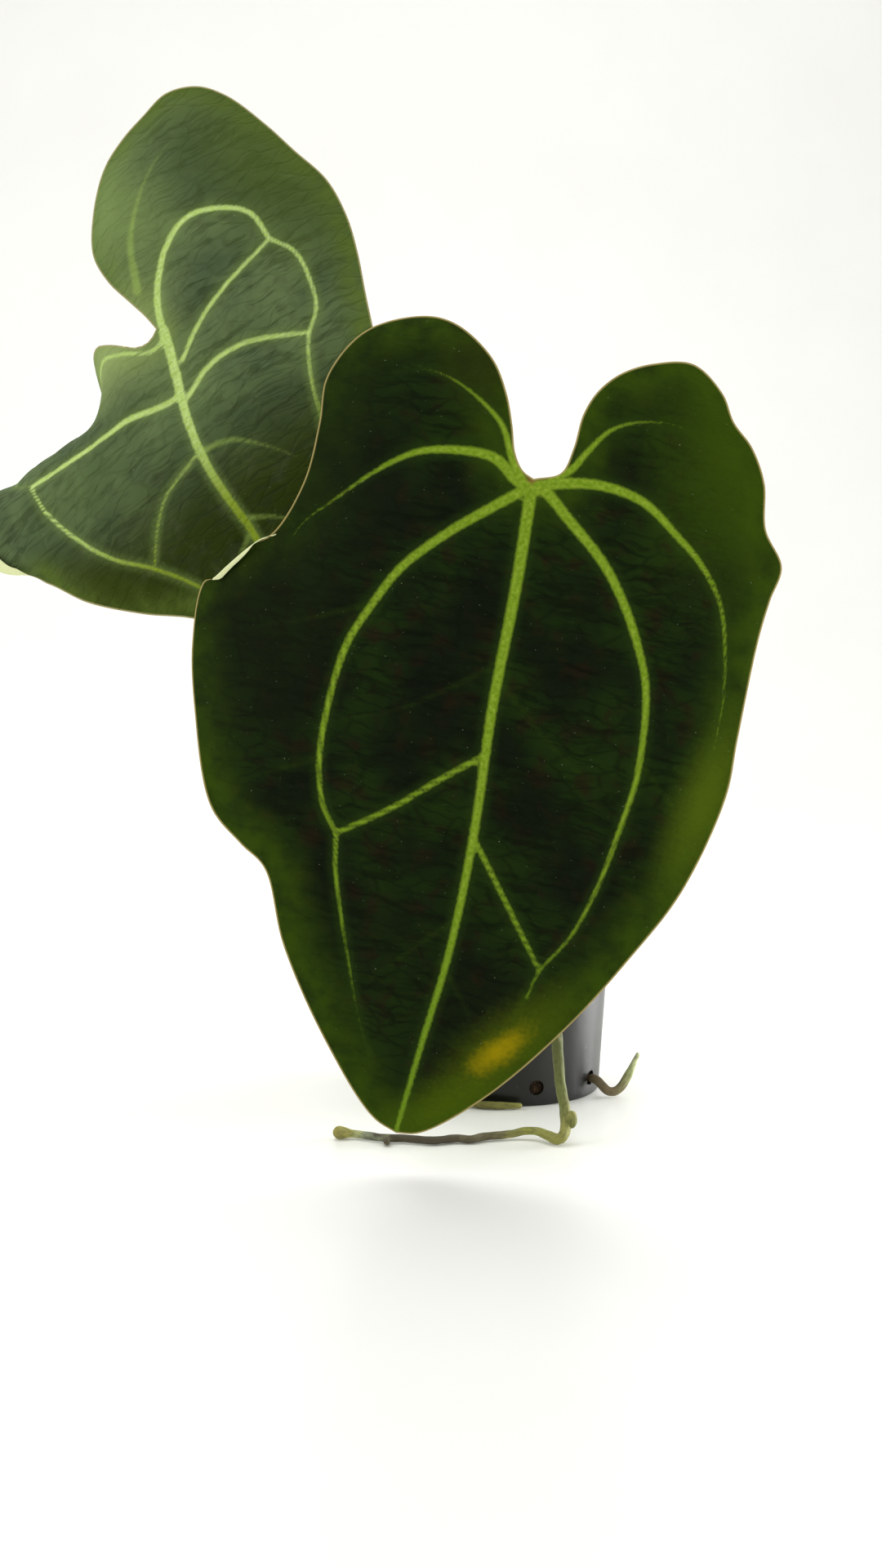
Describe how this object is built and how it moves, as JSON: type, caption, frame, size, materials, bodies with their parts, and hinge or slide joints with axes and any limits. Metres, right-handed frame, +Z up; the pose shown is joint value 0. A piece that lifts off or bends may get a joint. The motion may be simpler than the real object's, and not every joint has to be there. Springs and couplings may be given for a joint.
{
  "type": "potted anthurium",
  "caption": "Potted anthurium: heart shaped velvety leaves with pale veins on long arching petioles, in a round black nursery pot with aerial roots trailing over its rim.",
  "frame": {"origin": "centre of the pot's base, on the surface it stands on", "axes": "+Z up along the pot's axis, -Y towards the front, where the front leaf hangs, +X to the viewer's right"},
  "size_m": [0.3103, 0.2082, 0.3959],
  "materials": {
    "pot": "satin black, thin moulded plastic",
    "potting_mix": "coarse bark compost",
    "bark": "rough bark",
    "pumice": "pitted, matt",
    "charcoal": "matt black",
    "stem": "green to brown, ringed with leaf scars",
    "bud": "smooth pale green",
    "cataphyll": "dry papery fibre",
    "petiole": "smooth satin green",
    "blade_front": "velvety, very dark green with pale green veins",
    "blade_back": "velvety green with pale green veins",
    "root": "dull velvety grey brown to olive green"
  },
  "bodies": {
    "root": {"bark_chip_1": "bark", "bark_chip_10": "bark", "bark_chip_11": "bark", "bark_chip_12": "bark", "bark_chip_2": "bark", "bark_chip_3": "bark", "bark_chip_4": "bark", "bark_chip_5": "bark", "bark_chip_6": "bark", "bark_chip_7": "bark", "bark_chip_8": "bark", "bark_chip_9": "bark", "blade_back": "blade_back", "blade_front": "blade_front", "cataphyll_left": "cataphyll", "cataphyll_right": "cataphyll", "charcoal_1": "charcoal", "charcoal_2": "charcoal", "charcoal_3": "charcoal", "petiole_back": "petiole", "petiole_front": "petiole", "pot": "pot", "potting_mix": "potting_mix", "prop_root_1": "root", "prop_root_2": "root", "prop_root_3": "root", "prop_root_4": "root", "pumice_1": "pumice", "pumice_2": "pumice", "pumice_3": "pumice", "pumice_4": "pumice", "pumice_5": "pumice", "pumice_6": "pumice", "root_foot": "root", "root_over_rim": "root", "root_right": "root", "stem": "stem", "terminal_bud": "bud"}
  },
  "joints": []
}
